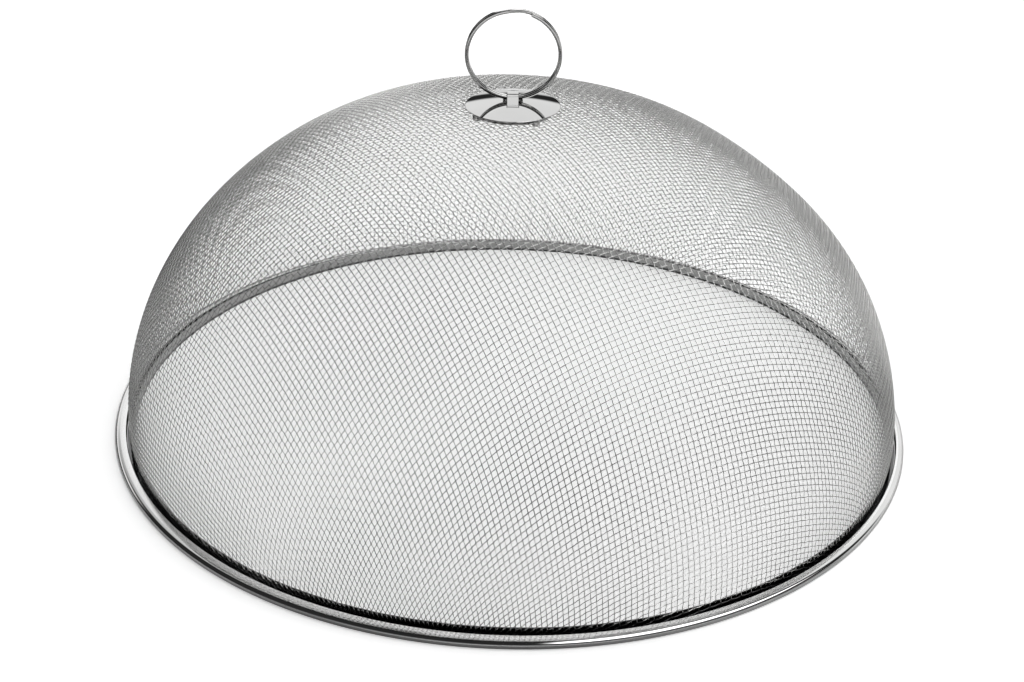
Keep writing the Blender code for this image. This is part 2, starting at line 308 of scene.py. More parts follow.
def turned_lines_group():
    """Fine lines round the Z axis, as rolling and polishing leave on strip, with soft blotches."""
    group = bpy.data.node_groups.new("turned_lines", "ShaderNodeTree")
    for name in ("Line scale", "Line depth", "Blotch scale", "Roughness low", "Roughness high"):
        group.interface.new_socket(name, in_out="INPUT", socket_type="NodeSocketFloat")
    for name in ("Roughness", "Height", "Blotch"):
        group.interface.new_socket(name, in_out="OUTPUT", socket_type="NodeSocketFloat")
    nodes, link = group.nodes, group.links.new
    source = nodes.new("NodeGroupInput")
    result = nodes.new("NodeGroupOutput")
    place = nodes.new("ShaderNodeTexCoord")
    split = nodes.new("ShaderNodeSeparateXYZ")
    link(place.outputs["Object"], split.inputs[0])
    angle = nodes.new("ShaderNodeMath")
    angle.operation = "ARCTAN2"
    link(split.outputs["Y"], angle.inputs[0])
    link(split.outputs["X"], angle.inputs[1])
    flat = nodes.new("ShaderNodeCombineXYZ")
    link(split.outputs["X"], flat.inputs["X"])
    link(split.outputs["Y"], flat.inputs["Y"])
    length = nodes.new("ShaderNodeVectorMath")
    length.operation = "LENGTH"
    link(flat.outputs[0], length.inputs[0])
    polar = nodes.new("ShaderNodeCombineXYZ")
    for k, output in enumerate((length.outputs["Value"], split.outputs["Z"])):
        scaled = nodes.new("ShaderNodeMath")
        scaled.operation = "MULTIPLY"
        link(output, scaled.inputs[0])
        link(source.outputs["Line scale"], scaled.inputs[1])
        link(scaled.outputs[0], polar.inputs[k])
    link(angle.outputs[0], polar.inputs["Z"])
    lines = nodes.new("ShaderNodeTexNoise")
    lines.inputs["Scale"].default_value = 1
    lines.inputs["Detail"].default_value = LINE_DETAIL
    link(polar.outputs[0], lines.inputs["Vector"])
    blotch = nodes.new("ShaderNodeTexNoise")
    blotch.inputs["Detail"].default_value = BLOTCH_DETAIL
    link(place.outputs["Object"], blotch.inputs["Vector"])
    link(source.outputs["Blotch scale"], blotch.inputs["Scale"])
    both = nodes.new("ShaderNodeMath")
    both.operation = "MULTIPLY"
    link(lines.outputs["Fac"], both.inputs[0])
    link(blotch.outputs["Fac"], both.inputs[1])
    spread = nodes.new("ShaderNodeMapRange")
    spread.inputs["From Min"].default_value = NOISE_LOW
    spread.inputs["From Max"].default_value = NOISE_HIGH
    link(both.outputs[0], spread.inputs["Value"])
    link(source.outputs["Roughness low"], spread.inputs["To Min"])
    link(source.outputs["Roughness high"], spread.inputs["To Max"])
    link(spread.outputs["Result"], result.inputs["Roughness"])
    height = nodes.new("ShaderNodeMath")
    height.operation = "MULTIPLY"
    link(lines.outputs["Fac"], height.inputs[0])
    link(source.outputs["Line depth"], height.inputs[1])
    link(height.outputs[0], result.inputs["Height"])
    link(blotch.outputs["Fac"], result.inputs["Blotch"])
    return group


def steel(name, tone, roughness, lines=LINE_SCALE, relief=STRIP_RELIEF):
    """Stainless steel: a metallic shader whose roughness, tone and relief follow the turned lines."""
    material = bpy.data.materials.new(name)
    tree = nodes_of(material)
    nodes, link = tree.nodes, tree.links.new
    shader = nodes.new("ShaderNodeBsdfPrincipled")
    output = nodes.new("ShaderNodeOutputMaterial")
    link(shader.outputs[0], output.inputs["Surface"])
    shader.inputs["Metallic"].default_value = 1.0
    effect = nodes.new("ShaderNodeGroup")
    effect.node_tree = turned_lines
    effect.inputs["Line scale"].default_value = lines
    effect.inputs["Line depth"].default_value = LINE_DEPTH
    effect.inputs["Blotch scale"].default_value = BLOTCH_SCALE
    effect.inputs["Roughness low"].default_value = roughness[0]
    effect.inputs["Roughness high"].default_value = roughness[1]
    link(effect.outputs["Roughness"], shader.inputs["Roughness"])
    tones = nodes.new("ShaderNodeValToRGB")
    tones.color_ramp.elements[0].position = TONE_LOW
    tones.color_ramp.elements[0].color = (*[DARKER_SHARE * c for c in tone], 1)
    tones.color_ramp.elements[1].position = TONE_HIGH
    tones.color_ramp.elements[1].color = (*tone, 1)
    link(effect.outputs["Blotch"], tones.inputs["Fac"])
    link(tones.outputs["Color"], shader.inputs["Base Color"])
    bump = nodes.new("ShaderNodeBump")
    bump.inputs["Strength"].default_value = relief
    bump.inputs["Distance"].default_value = RELIEF_HEIGHT
    link(effect.outputs["Height"], bump.inputs["Height"])
    link(bump.outputs["Normal"], shader.inputs["Normal"])
    return material


def retouched(material, mask, tone, rougher):
    """Gives the part of a material where a mask is 1 another tone and more roughness."""
    tree = material.node_tree
    nodes, link = tree.nodes, tree.links.new
    shader = next(node for node in nodes if node.type == "BSDF_PRINCIPLED")
    mixed = nodes.new("ShaderNodeMix")
    mixed.data_type = "RGBA"
    mixed.inputs["B"].default_value = (*tone, 1)
    link(mask, mixed.inputs["Factor"])
    link(shader.inputs["Base Color"].links[0].from_socket, mixed.inputs["A"])
    link(mixed.outputs["Result"], shader.inputs["Base Color"])
    rough = nodes.new("ShaderNodeMath")
    rough.operation = "MULTIPLY_ADD"
    rough.inputs[1].default_value = rougher
    link(mask, rough.inputs[0])
    link(shader.inputs["Roughness"].links[0].from_socket, rough.inputs[2])
    link(rough.outputs[0], shader.inputs["Roughness"])


def facing(material, side):
    """1 on the faces that look away from the Z axis, with side 1, or towards it, with side -1."""
    nodes, link = material.node_tree.nodes, material.node_tree.links.new
    place = nodes.new("ShaderNodeTexCoord")
    turned = nodes.new("ShaderNodeVectorMath")
    turned.operation = "DOT_PRODUCT"
    link(place.outputs["Object"], turned.inputs[0])
    link(place.outputs["Normal"], turned.inputs[1])
    mask = nodes.new("ShaderNodeMath")
    mask.operation = "GREATER_THAN" if side > 0 else "LESS_THAN"
    mask.inputs[1].default_value = side * FACING_LEAST
    link(turned.outputs["Value"], mask.inputs[0])
    return mask.outputs[0]


def within(material, radius):
    """1 closer to the Z axis than a radius, on the oval cover."""
    nodes, link = material.node_tree.nodes, material.node_tree.links.new
    place = nodes.new("ShaderNodeTexCoord")
    flat = nodes.new("ShaderNodeCombineXYZ")
    for k, direction in enumerate(((1, OVAL_SHARE, 0), (OVAL_SHARE, 1, 0))):
        along = nodes.new("ShaderNodeVectorMath")
        along.operation = "DOT_PRODUCT"
        along.inputs[1].default_value = direction
        link(place.outputs["Object"], along.inputs[0])
        link(along.outputs["Value"], flat.inputs[k])
    length = nodes.new("ShaderNodeVectorMath")
    length.operation = "LENGTH"
    link(flat.outputs["Vector"], length.inputs[0])
    mask = nodes.new("ShaderNodeMath")
    mask.operation = "LESS_THAN"
    mask.inputs[1].default_value = radius
    link(length.outputs["Value"], mask.inputs[0])
    return mask.outputs[0]


def below(material, height):
    """1 under a height."""
    nodes, link = material.node_tree.nodes, material.node_tree.links.new
    place = nodes.new("ShaderNodeTexCoord")
    split = nodes.new("ShaderNodeSeparateXYZ")
    link(place.outputs["Object"], split.inputs[0])
    mask = nodes.new("ShaderNodeMath")
    mask.operation = "LESS_THAN"
    mask.inputs[1].default_value = height
    link(split.outputs["Z"], mask.inputs[0])
    return mask.outputs[0]


turned_lines = turned_lines_group()
wire_steel = steel("wire_steel", WIRE_TONE, WIRE_ROUGHNESS, lines=WIRE_LINE_SCALE, relief=0.0)
rim_steel = steel("rim_steel", POLISHED, RIM_ROUGHNESS)
hoop_steel = steel("hoop_steel", BRIGHT, HOOP_ROUGHNESS)
core_steel = steel("core_steel", WIRE_TONE, CORE_ROUGHNESS)
cap_steel = steel("cap_steel", BRIGHT, MIRROR_ROUGHNESS, relief=CAP_RELIEF)
disc_steel = steel("disc_steel", BRIGHT, DISC_ROUGHNESS)
ring_steel = steel("ring_steel", RING_TONE, MIRROR_ROUGHNESS, relief=0.0)

# Painted shade: the wires' foot, the hoop's outer face and foot and the rim's inward side are coloured
# dark, for the shade in the narrow gaps. The flange is satin
retouched(wire_steel, below(wire_steel, HOOP_TOP), SHADED, 0.0)
retouched(hoop_steel, facing(hoop_steel, 1), SHADED, 0.0)
retouched(hoop_steel, below(hoop_steel, HOOP_SHADE_TOP), SHADED, 0.0)
retouched(rim_steel, within(rim_steel, SATIN_EDGE), SATIN, SATIN_ROUGHER)
retouched(rim_steel, facing(rim_steel, -1), SHADED, 0.0)


def dress(item, material):
    item.data.materials.clear()
    item.data.materials.append(material)


def oval(x, y):
    """Where a place on the round cover lies on the real one, inside the same box.

    That one is a little oval, and what lies inside its flange is set to the right.
    """
    shrink = 1 - OVAL_SHARE ** 2 / 2
    share = np.clip((SEAT_EDGE - np.hypot(x, y)) / SEAT_BLEND, 0, 1)
    return shrink * (x - OVAL_SHARE * y) + SEAT_SHIFT * share, shrink * (y - OVAL_SHARE * x)


# Woven cloth


def net_quarter(rows):
    """Crossings of one quarter of the cloth, as an array by row and column.

    The two edge wires run down meridians at equal chords. Each further crossing lies on the dome,
    one pitch from the crossing before it on both of its wires.
    """
    rise = CLOTH_TOP - CLOTH_SPRING
    net = np.full((rows + 1, rows + 1, 3), np.nan)
    radius, height = 0.0, CLOTH_TOP
    for i in range(rows + 1):
        net[i, 0] = (radius, 0, height)
        net[0, i] = (0, radius, height)
        low, high = -math.pi / 2, math.pi / 2
        for _ in range(HALVINGS):
            dip = (low + high) / 2
            r = radius + WIRE_PITCH * math.cos(dip)
            z = height - WIRE_PITCH * math.sin(dip)
            up = max(z - CLOTH_SPRING, 0.0)
            inside = (r / CLOTH_RADIUS) ** 2 + (up / rise) ** 2 < 1
            low, high = (low, dip) if inside else (dip, high)
        radius, height = r, z
    for diagonal in range(2, 2 * rows + 1):
        i = np.arange(max(1, diagonal - rows), min(rows, diagonal - 1) + 1)
        j = diagonal - i
        before, beside, behind = net[i - 1, j], net[i, j - 1], net[i - 1, j - 1]
        lowest = np.minimum(before[:, 2], np.minimum(beside[:, 2], behind[:, 2]))
        known = np.isfinite(before + beside + behind).all(axis=1) & (lowest > -WIRE_PITCH)
        if not known.any():
            continue
        i, j, before, beside, behind = i[known], j[known], before[known], beside[known], behind[known]
        point = before + beside - behind
        for _ in range(SOLVER_STEPS):
            up = np.maximum(point[:, 2] - CLOTH_SPRING, 0)
            off = (point[:, 0] ** 2 + point[:, 1] ** 2) / CLOTH_RADIUS ** 2 + (up / rise) ** 2 - 1
            slope = 2 * np.stack([point[:, 0], point[:, 1], up], 1)
            slope /= (CLOTH_RADIUS ** 2, CLOTH_RADIUS ** 2, rise ** 2)
            first, second = point - before, point - beside
            wrong = np.stack([
                off,
                (first ** 2).sum(1) - WIRE_PITCH ** 2,
                (second ** 2).sum(1) - WIRE_PITCH ** 2,
            ], 1)
            matrix = np.stack([slope, 2 * first, 2 * second], 1)
            point = point - np.linalg.solve(matrix, wrong[:, :, None])[:, :, 0]
        net[i, j] = point
    return net


def whole_net(rows):
    """The four quarters put together, with the crown at [rows, rows]."""
    quarter = net_quarter(rows)
    net = np.full((2 * rows + 1, 2 * rows + 1, 3), np.nan)
    steps = np.arange(rows + 1)
    i, j = np.meshgrid(steps, steps, indexing="ij")
    for k in range(4):
        angle = CLOTH_TURN + k * math.pi / 2
        turn = np.array([
            [math.cos(angle), -math.sin(angle), 0],
            [math.sin(angle), math.cos(angle), 0],
            [0, 0, 1],
        ])
        to_i, to_j = ((i, j), (-j, i), (-i, -j), (j, -i))[k]
        net[rows + to_i, rows + to_j] = quarter @ turn.T
    x, y = net[:, :, 0], net[:, :, 1]
    from_axis = np.hypot(x, y)
    net[:, :, 2] -= CROWN_DIP * np.exp(-((from_axis / CROWN_DIP_RADIUS) ** 2))
    full = np.hypot(x - FULL_PLACE[0], y - FULL_PLACE[1]) / FULL_REACH
    clear = 1 - np.exp(-((from_axis / CAP_ZONE) ** 4))
    net[:, :, 2] += FULL_LIFT * np.exp(-(full ** 2)) * clear
    flat = np.hypot(x - FLAT_PLACE[0], y - FLAT_PLACE[1]) / FLAT_REACH
    high = np.clip((net[:, :, 2] - FLAT_FROM) / FLAT_BLEND, 0, 1)
    inward = FLAT_INWARD * np.exp(-(flat ** 2)) * high / CLOTH_RADIUS
    net *= 1 - inward[:, :, None]
    net[:, :, 0], net[:, :, 1] = oval(net[:, :, 0], net[:, :, 1])
    return net


def cloth_height(radius):
    """Middle of the cloth at this distance from the axis, drawn down a little under the cap."""
    arch = (CLOTH_TOP - CLOTH_SPRING) * math.sqrt(1 - (radius / CLOTH_RADIUS) ** 2)
    return CLOTH_SPRING + arch - CROWN_DIP * math.exp(-((radius / CROWN_DIP_RADIUS) ** 2))


def cloth_normal(points):
    """Directions straight out of the dome, of length 1."""
    up = np.maximum(points[:, 2] - CLOTH_SPRING, 0)
    normal = np.stack([
        points[:, 0] / CLOTH_RADIUS ** 2,
        points[:, 1] / CLOTH_RADIUS ** 2,
        up / (CLOTH_TOP - CLOTH_SPRING) ** 2,
    ], 1)
    return normal / np.linalg.norm(normal, axis=1)[:, None]


def wire_tube(crossings, first_side):
    """Points and faces of one wire that passes over and under at its crossings."""
    count = len(crossings)
    path = np.empty((2 * count - 1, 3))
    path[0::2] = crossings
    path[1::2] = (crossings[1:] + crossings[:-1]) / 2
    normal = cloth_normal(path)
    crimp = np.zeros(len(path))
    crimp[0::2] = WIRE_CRIMP * first_side * (-1.0) ** np.arange(count)
    path = path + normal * crimp[:, None]
    run = np.gradient(path, axis=0)
    run /= np.linalg.norm(run, axis=1)[:, None]
    across = np.cross(run, normal)
    across /= np.linalg.norm(across, axis=1)[:, None]
    upward = np.cross(across, run)
    corners = []
    for k in range(WIRE_SIDES):
        angle = 2 * math.pi * k / WIRE_SIDES
        corners.append(path + WIRE_RADIUS * (math.cos(angle) * upward + math.sin(angle) * across))
    points = np.stack(corners, 1).reshape(-1, 3)
    row = np.arange(len(path) - 1)[:, None] * WIRE_SIDES
    k = np.arange(WIRE_SIDES)[None, :]
    after = (k + 1) % WIRE_SIDES
    faces = np.stack([row + k, row + WIRE_SIDES + k, row + WIRE_SIDES + after, row + after], 2)
    last = (len(path) - 1) * WIRE_SIDES
    ends = [list(range(WIRE_SIDES)), [last + n for n in range(WIRE_SIDES - 1, -1, -1)]]
    return points, np.concatenate([faces.reshape(-1, 4), np.array(ends)])


def trimmed(crossings):
    """The stretch of a wire above the cloth's foot, and the number of its first crossing."""
    good = np.isfinite(crossings).all(axis=1)
    good &= np.nan_to_num(crossings[:, 2], nan=-1.0) > CLOTH_FOOT
    where = np.flatnonzero(good)
    if len(where) < FEWEST_CROSSINGS:
        return None, 0
    return crossings[where[0]:where[-1] + 1], int(where[0])


def woven_cloth():
    """The cloth in pieces of neighbouring wires, warp and weft."""
    rows = math.ceil(LONGEST_RUN / WIRE_PITCH)
    net = whole_net(rows)
    pieces = []
    for direction in (0, 1):
        wires = []
        for n in range(2 * rows + 1):
            line = net[:, n] if direction == 0 else net[n, :]
            stretch, start = trimmed(line)
            if stretch is None:
                continue
            side = 1 if (n + start + direction) % 2 else -1
            wires.append(wire_tube(stretch, side))
        total = sum(len(points) for points, _ in wires)
        groups = [[] for _ in range(PIECES_PER_DIRECTION)]
        passed = 0
        for wire in wires:
            groups[min(PIECES_PER_DIRECTION * passed // total, PIECES_PER_DIRECTION - 1)].append(wire)
            passed += len(wire[0])
        for k, group in enumerate(groups):
            starts = np.cumsum([0] + [len(points) for points, _ in group[:-1]])
            points = np.concatenate([points for points, _ in group])
            faces = np.concatenate([face + start for (_, face), start in zip(group, starts)])
            name = f"cloth_{('warp', 'weft')[direction]}_{k + 1}"
            mesh = bpy.data.meshes.new(name)
            mesh.from_pydata(points.tolist(), [], faces.tolist())
            mesh.shade_smooth()
            item = bpy.data.objects.new(name, mesh)
            bpy.context.collection.objects.link(item)
            pieces.append(item)
    for item in pieces:
        dress(item, wire_steel)
        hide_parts("mesh_dome")
        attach(item, "cover")


# Pieces shaped as by hand


def only(item):
    """Selects one piece alone and makes it the active one."""
    bpy.ops.object.select_all(action="DESELECT")
    item.select_set(True)
    bpy.context.view_layer.objects.active = item


def outline_loop(name, outline):
    """A circle primitive whose corners are moved to an outline in the XZ plane."""
    bpy.ops.mesh.primitive_circle_add(vertices=len(outline), radius=1, location=(0, 0, 0))
    item = bpy.context.object
    item.name = name
    item.data.name = name
    for corner, (r, z) in zip(item.data.vertices, outline):
        corner.co = (r, 0, z)
    return item


def spun(name, outline, steps=STEPS_ROUND, smooth=SPUN_SMOOTH):
    """An outline spun once round Z in edit mode, its first and last rows merged."""
    item = outline_loop(name, outline)
    only(item)
    bpy.ops.object.mode_set(mode="EDIT")
    bpy.ops.mesh.select_all(action="SELECT")
    bpy.ops.mesh.spin(steps=steps, angle=2 * math.pi, center=(0, 0, 0), axis=(0, 0, 1))
    bpy.ops.mesh.select_all(action="SELECT")
    bpy.ops.mesh.remove_doubles(threshold=MERGE)
    bpy.ops.mesh.normals_make_consistent(inside=False)
    bpy.ops.object.mode_set(mode="OBJECT")
    bpy.ops.object.shade_smooth_by_angle(angle=smooth)
    return item


def arc(centre, radius, start, end, steps):
    """Points along an arc, with both of its ends."""
    found = []
    for k in range(steps + 1):
        angle = start + (end - start) * k / steps
        found.append((centre[0] + radius * math.cos(angle), centre[1] + radius * math.sin(angle)))
    return found


def made_oval(item):
    """Moves a round piece's corners to the real cover's shape."""
    for point in item.data.vertices:
        point.co.x, point.co.y = oval(point.co.x, point.co.y)


def rim():
    """The strip round the cloth: a flange that slopes outward to a bead rolled from its edge."""
    slope = math.atan2(FLANGE_FALL, BEAD_CENTRE[0] - FLANGE_INNER)
    top = math.pi / 2 - slope
    end = math.pi / 2 - BEAD_TURN
    inner = (FLANGE_INNER + FLANGE_CORNER, FLANGE_TOP - FLANGE_CORNER)
    outline = [(FLANGE_INNER, CLOTH_FOOT)]
    outline += arc(inner, FLANGE_CORNER, math.pi, top, CORNER_STEPS)
    outline += arc(BEAD_CENTRE, LOW_BEAD_RADIUS, top, end, BEAD_STEPS)
    outline += arc(BEAD_CENTRE, LOW_BEAD_RADIUS - STRIP, end, top, BEAD_INSIDE_STEPS)
    outline += [(FLANGE_INNER + STRIP, FLANGE_TOP - STRIP), (FLANGE_INNER + STRIP, CLOTH_FOOT)]
    item = spun("rim", outline)
    made_oval(item)
    dress(item, rim_steel)
    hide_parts("rim_band")
    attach(item, "cover")


def core_wire():
    """The wire that the bead is rolled round."""
    item = spun("core_wire", arc(BEAD_CENTRE, CORE_RADIUS, 0, 2 * math.pi, CORE_STEPS)[1:])
    made_oval(item)
    dress(item, core_steel)
    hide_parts("rim_core_wire")
    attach(item, "cover")


def hoop():
    """The strip inside the cloth's foot, whose own foot turns out under the flange."""
    inner = HOOP_OUTER - STRIP
    middle = (HOOP_OUTER - STRIP / 2, HOOP_TOP - STRIP / 2)
    outline = [(inner, 0.0), (HOOP_FOOT, 0.0), (HOOP_FOOT, STRIP), (HOOP_OUTER, STRIP)]
    outline += arc(middle, STRIP / 2, 0, math.pi, EDGE_STEPS)
    item = spun("hoop", outline)
    made_oval(item)
    dress(item, hoop_steel)
    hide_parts("inner_hoop")
    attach(item, "cover")


def split_ring():
    """Two turns of flat wire with rounded edges, stepping across just before the visible end."""
    whole = 4 * math.pi - RING_CROSS - 2 * RING_END_GAP
    cross_from = 2 * math.pi - RING_CROSS - RING_END_GAP
    section = []
    for side_x, side_z, turn in ((1, 1, 0), (-1, 1, 1), (-1, -1, 2), (1, -1, 3)):
        middle = (side_x * (RING_DEPTH / 2 - RING_CORNER), side_z * (RING_WIDTH / 2 - RING_CORNER))
        start, end = turn * math.pi / 2, (turn + 1) * math.pi / 2
        section += arc(middle, RING_CORNER, start, end, RING_CORNER_STEPS)
    points = []
    count = len(section)
    lean = Matrix.Rotation(RING_LEAN, 3, "X")
    for k in range(RING_STEPS + 1):
        along = whole * k / RING_STEPS
        thinned = RING_TAPER_SHARE * max(1 - (whole - along) / RING_TAPER, 0.0) ** 2
        shift = RING_LAYER * (2 * ease((along - cross_from) / RING_CROSS) - 1)
        angle = RING_START + along
        for depth, width in section:
            r = RING_MIDDLE - RING_DEPTH / 2 + (depth + RING_DEPTH / 2) * (1 - thinned)
            y = shift - RING_WIDTH / 2 + (width + RING_WIDTH / 2) * (1 - thinned)
            place = Vector((r * math.sin(angle), y, RING_MIDDLE + r * math.cos(angle)))
            points.append(PIVOT + lean @ place)
    faces = [tuple(range(count)), tuple(range(len(points) - 1, len(points) - count - 1, -1))]
    for base in range(0, len(points) - count, count):
        for i in range(count):
            j = (i + 1) % count
            faces.append((base + i, base + count + i, base + count + j, base + j))
    mesh = bpy.data.meshes.new("split_ring")
    mesh.from_pydata(points, [], faces)
    item = bpy.data.objects.new("split_ring", mesh)
    bpy.context.collection.objects.link(item)
    only(item)
    bpy.ops.object.mode_set(mode="EDIT")
    bpy.ops.mesh.select_all(action="SELECT")
    bpy.ops.mesh.normals_make_consistent(inside=False)
    bpy.ops.object.mode_set(mode="OBJECT")
    bpy.ops.object.shade_smooth_by_angle(angle=CUT_SMOOTH)
    dress(item, ring_steel)
    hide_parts("lift_ring")
    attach(item, "ring")


def cap_height(radius):
    """Outer side of the pressed dome, without its bridge."""
    return CAP_TOP - (CAP_RISE - CAP_STRIP) * (radius / CAP_RADIUS) ** 2


def ease(share):
    """Rises from 0 to 1, rounded at both ends."""
    share = min(max(share, 0.0), 1.0)
    return share * share * (3 - 2 * share)


def pressed_disc(name, radius, strip, height_at, rows, segments):
    """A thin domed disc with a rounded edge, spun from its section, finer towards the edge."""
    edge = radius - strip / 2
    reach = [edge * (k / rows) ** ROW_POWER for k in range(rows + 1)]
    outline = [(r, height_at(r)) for r in reach]
    middle = (edge, height_at(edge) - strip / 2)
    outline += arc(middle, strip / 2, math.pi / 2, -math.pi / 2, EDGE_STEPS)[1:]
    outline += [(r, height_at(r) - strip) for r in reach[-2::-1]]
    item = spun(name, outline, steps=segments, smooth=DISC_SMOOTH)
    only(item)
    bpy.ops.object.mode_set(mode="EDIT")
    bpy.ops.mesh.select_all(action="SELECT")
    bpy.ops.mesh.delete_loose(use_verts=True, use_edges=True, use_faces=False)
    bpy.ops.object.mode_set(mode="OBJECT")
    return item


def cut_or_join(item, other, operation):
    """A Boolean with a helper piece, applied, after which the helper goes."""
    only(item)
    modifier = item.modifiers.new(operation.title(), "BOOLEAN")
    modifier.operation = operation
    modifier.object = other
    modifier.solver = "EXACT"
    bpy.ops.object.modifier_apply(modifier=modifier.name)
    bpy.data.objects.remove(other, do_unlink=True)


def block(name, low, high):
    """A cube primitive that fills the box between two corners."""
    size = [b - a for a, b in zip(low, high)]
    middle = [(a + b) / 2 for a, b in zip(low, high)]
    bpy.ops.mesh.primitive_cube_add(size=1, location=middle, scale=size)
    item = bpy.context.object
    item.name = name
    bpy.ops.object.transform_apply(location=True, rotation=True, scale=True)
    return item


def choose_fold(item):
    """Selects the tab's inward face below the bend, and goes back to edit mode."""
    bpy.ops.object.mode_set(mode="OBJECT")
    for face in item.data.polygons:
        face.select = face.normal.x < INWARD_NORMAL and face.center.z < TAB_FOOT + CAP_STRIP
    bpy.ops.object.mode_set(mode="EDIT")


def cap_tab(k):
    """A clinched tab: from the cap's edge down through the cloth and folded in below the disc.

    Known fault: on tabs 1 to 3 an edge of the cut stays selected and is extruded too, which
    leaves open faces there.
    """
    drop = cap_height(TAB_OUTER) - CAP_STRIP / 2 - TAB_FOOT
    half = TAB_WIDTH / 2
    item = block(
        f"tab_{k}",
        (TAB_OUTER - CAP_STRIP, -half, TAB_FOOT),
        (TAB_OUTER, half, TAB_FOOT + drop),
    )
    only(item)
    bpy.ops.object.mode_set(mode="EDIT")
    bpy.ops.mesh.select_all(action="SELECT")
    bpy.ops.mesh.bisect(plane_co=(0, 0, TAB_FOOT + CAP_STRIP), plane_no=(0, 0, 1))
    choose_fold(item)
    bpy.ops.mesh.select_mode(type="FACE")
    choose_fold(item)
    bpy.ops.mesh.extrude_region_move(
        TRANSFORM_OT_translate={"value": (-TAB_FOLD, 0, TAB_FOLD_RISE)},
    )
    bpy.ops.object.mode_set(mode="OBJECT")
    bevel = item.modifiers.new("Bevel", "BEVEL")
    bevel.width = TAB_BEVEL
    bevel.segments = TAB_BEVEL_STEPS
    bpy.ops.object.modifier_apply(modifier=bevel.name)
    bpy.ops.object.mode_set(mode="EDIT")
    bpy.ops.mesh.select_all(action="SELECT")
    turn = TAB_TURN + 2 * math.pi * k / TAB_COUNT
    bpy.ops.transform.rotate(value=-turn, orient_axis="Z", center_override=(0, 0, 0))
    bpy.ops.object.mode_set(mode="OBJECT")
    return item


def cap():
    """The pressed cap: dome, two slots, the lanced bridge between them and four tabs."""
    item = pressed_disc("cap_shell", CAP_RADIUS, CAP_STRIP, cap_height, CAP_ROWS, CAP_SEGMENTS)
    for side in (-1, 1):
        for length, reach in ((SLOT_LENGTH, SLOT_HALF_WIDTH), (KERF, KERF_REACH)):
            ends = sorted((side * BRIDGE_HALF_WIDTH, side * (BRIDGE_HALF_WIDTH + length)))
            low = (ends[0], -reach, CAP_TOP - CUT_DEPTH)
            high = (ends[1], reach, CAP_TOP + CAP_STRIP)
            cut_or_join(item, block("slot", low, high), "DIFFERENCE")
    lift = BRIDGE_TOP - CAP_TOP
    for point in item.data.vertices:
        x, y = abs(point.co.x), abs(point.co.y)
        if x < BRIDGE_HALF_WIDTH + BRIDGE_SIDE_SLACK:
            point.co.z += lift * ease((BRIDGE_FOOT - y) / (BRIDGE_FOOT - BRIDGE_FLAT))
    for k in range(TAB_COUNT):
        cut_or_join(item, cap_tab(k), "UNION")
    only(item)
    bpy.ops.object.shade_smooth_by_angle(angle=CUT_SMOOTH)
    dress(item, cap_steel)
    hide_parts("cap")
    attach(item, "cover")


def backing_disc():
    """The plain disc inside the cloth that the tabs fold over."""
    top = cloth_height(0.0)

    def height_at(radius):
        return DISC_TOP - (top - cloth_height(radius))

    item = pressed_disc("disc", DISC_RADIUS, STRIP, height_at, DISC_ROWS, DISC_SEGMENTS)
    dress(item, disc_steel)
    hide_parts("backing_disc")
    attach(item, "cover")


# Studio


def maths(tree, operation, first, second):
    """Result of a Math node on two values, each a socket or a number."""
    node = tree.nodes.new("ShaderNodeMath")
    node.operation = operation
    for socket, value in zip(node.inputs, (first, second)):
        if isinstance(value, float):
            socket.default_value = value
        else:
            tree.links.new(value, socket)
    return node.outputs[0]


def times(tree, first, second):
    return maths(tree, "MULTIPLY", first, second)


def plus(tree, first, second):
    return maths(tree, "ADD", first, second)


def larger(tree, first, second):
    return maths(tree, "MAXIMUM", first, second)


def band(tree, value, limits):
    """1 where a value lies between the low and the high end, with soft edges, else 0."""
    low, high, soft = limits
    nodes, link = tree.nodes, tree.links.new
    rise = nodes.new("ShaderNodeMapRange")
    fall = nodes.new("ShaderNodeMapRange")
    for node, start, end in ((rise, low - soft, low + soft), (fall, high + soft, high - soft)):
        node.interpolation_type = "SMOOTHSTEP"
        node.inputs["From Min"].default_value = start
        node.inputs["From Max"].default_value = end
        link(value, node.inputs["Value"])
    return times(tree, rise.outputs[0], fall.outputs[0])


def ramp(tree, value, shares):
    """Rises from 0 to 1 while a value goes from the first to the second of two cover radii shares."""
    node = tree.nodes.new("ShaderNodeMapRange")
    node.inputs["From Min"].default_value = shares[0] * COVER_RADIUS
    node.inputs["From Max"].default_value = shares[1] * COVER_RADIUS
    tree.links.new(value, node.inputs["Value"])
    return node.outputs[0]


def white_in_mirrors(tree, from_axis, x, y, mirrored):
    """1 where a mirror sees the floor's white: far from the cover, behind it or right in front."""
    far = ramp(tree, from_axis, MIRRORS_FAR_SHARES)
    aside = ramp(tree, maths(tree, "ABSOLUTE", x, 0.0), MIRRORS_ASIDE_SHARES)
    open_side = larger(tree, ramp(tree, y, MIRRORS_BEHIND_SHARES), aside)
    return times(tree, mirrored, times(tree, far, open_side))


def floor_shade(tree, from_axis, x, mirrored):
    """Painted shade in the floor's colour: how much darker mirrors see the floor close around the cover
    and at its left.
    """
    near = ramp(tree, from_axis, SHADE_NEAR_SHARES)
    near = times(tree, near, ramp(tree, x, SHADE_NEAR_RIGHT_SHARES))
    near = times(tree, near, ramp(tree, x, SHADE_NEAR_LEFT_SHARES))
    left = ramp(tree, x, SHADE_LEFT_SHARES)
    left = times(tree, left, ramp(tree, from_axis, SHADE_LEFT_FAR_SHARES))
    shade = times(tree, larger(tree, near, left), ramp(tree, from_axis, SHADE_OUTSIDE_SHARES))
    return times(tree, times(tree, shade, mirrored), FLOOR_SHADE)


